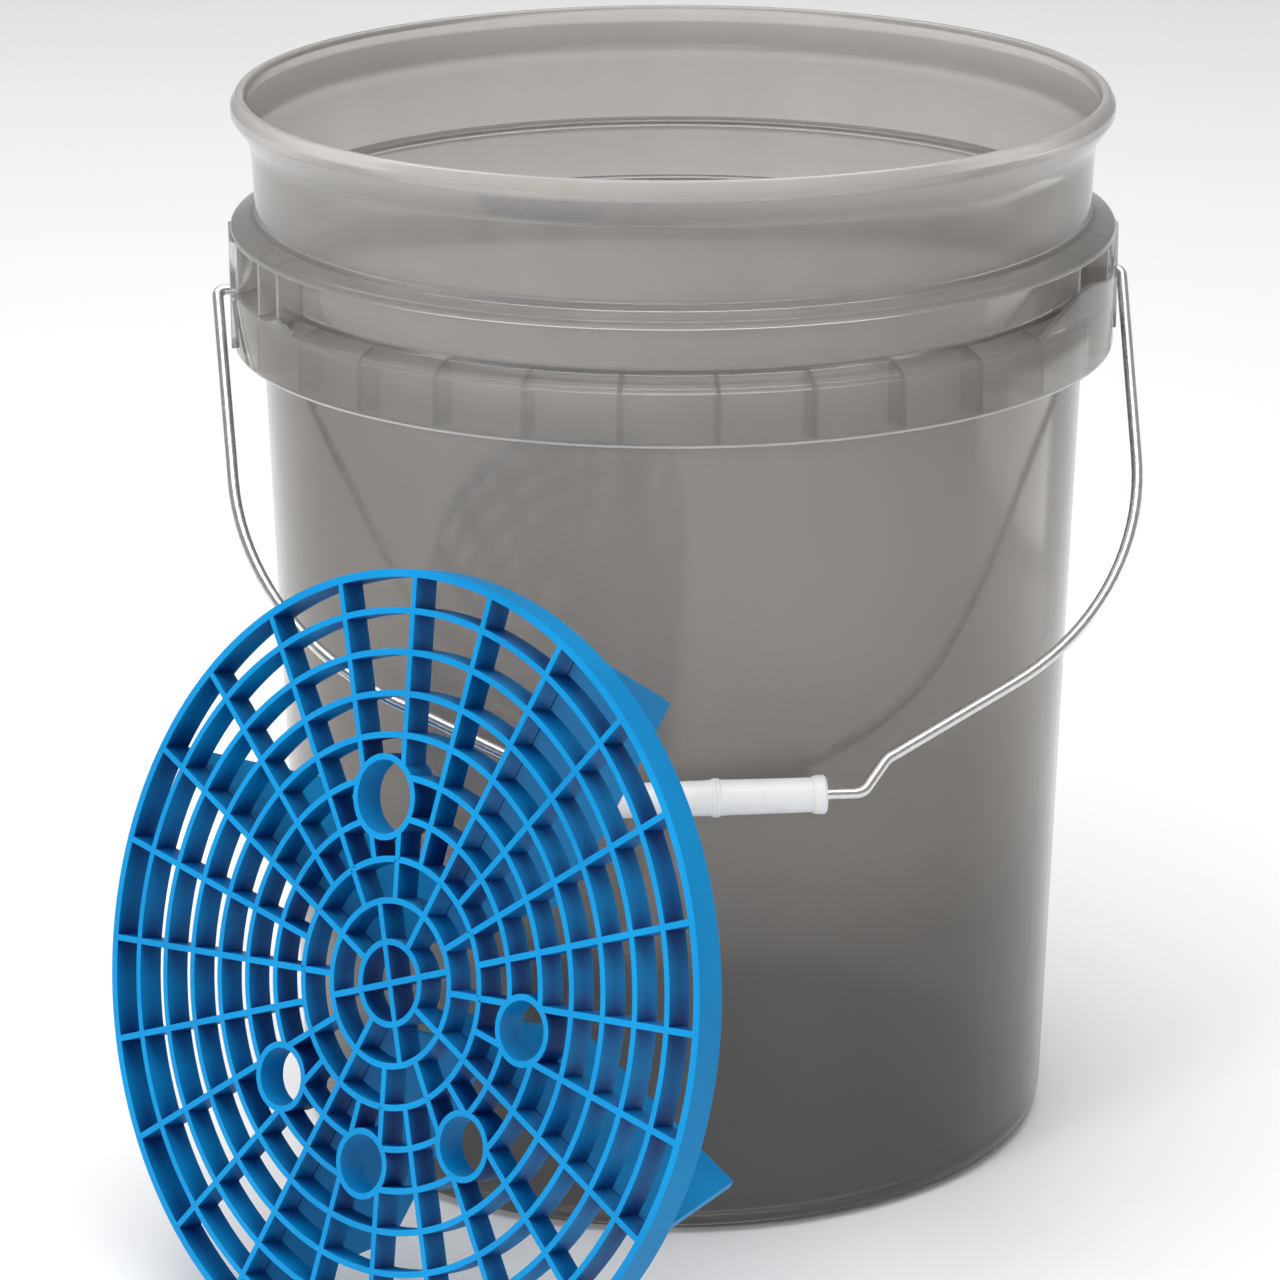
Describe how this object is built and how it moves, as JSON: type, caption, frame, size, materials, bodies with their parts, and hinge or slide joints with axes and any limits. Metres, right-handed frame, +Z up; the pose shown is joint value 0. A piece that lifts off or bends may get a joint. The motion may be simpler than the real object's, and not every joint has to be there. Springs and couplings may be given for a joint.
{
  "type": "wash bucket",
  "caption": "Round open plastic wash pail with a wire bail and roller grip, and a round slotted grit guard with vanes standing in front of it.",
  "frame": {"origin": "centre of the pail's foot ring, on the floor", "axes": "+Z up along the pail's axis; +X along the bail's hinge line through both ears; the bail hangs at the front, on the -Y side"},
  "size_m": [0.3573, 0.4677, 0.368],
  "materials": {
    "pail": "clear smoke-grey moulded plastic",
    "guard": "satin moulded plastic",
    "wire": "galvanised drawn wire",
    "grip": "satin white plastic"
  },
  "bodies": {
    "pail": {"pail_floor": "pail", "base_ring": "pail", "pail_wall": "pail", "rim_lip": "pail", "upper_flange": "pail", "lower_ledge": "pail", "skirt_band": "pail", "skirt_ribs": "pail", "ear_left": "pail", "ear_right": "pail", "ear_boss_left": "pail", "ear_boss_right": "pail"},
    "bail": {"bail_wire": "wire"},
    "roller_grip": {"grip": "grip"},
    "grit_guard": {"guard_rim": "guard", "guard_grille": "guard", "thumb_collar": "guard", "finger_collar_1": "guard", "finger_collar_2": "guard", "finger_collar_3": "guard", "finger_collar_4": "guard", "guard_vane_1": "guard", "guard_vane_2": "guard", "guard_vane_3": "guard", "guard_vane_4": "guard"}
  },
  "joints": [
    {"name": "bail_swing", "type": "hinge", "parent": "pail", "child": "bail", "pos_m": [0, 0, 0.3], "axis": [-1, 0, 0], "range_deg": [0, 267.6]},
    {"name": "grip_spin", "type": "hinge", "parent": "bail", "child": "roller_grip", "pos_m": [0, -0.14471, 0.16123], "axis": [1, 0, 0], "continuous": true},
    {"name": "guard_lift", "type": "slide", "parent": "pail", "child": "grit_guard", "axis": [-0.5337, -0.4639, 0.7071], "range_m": [0, 0.35]}
  ]
}
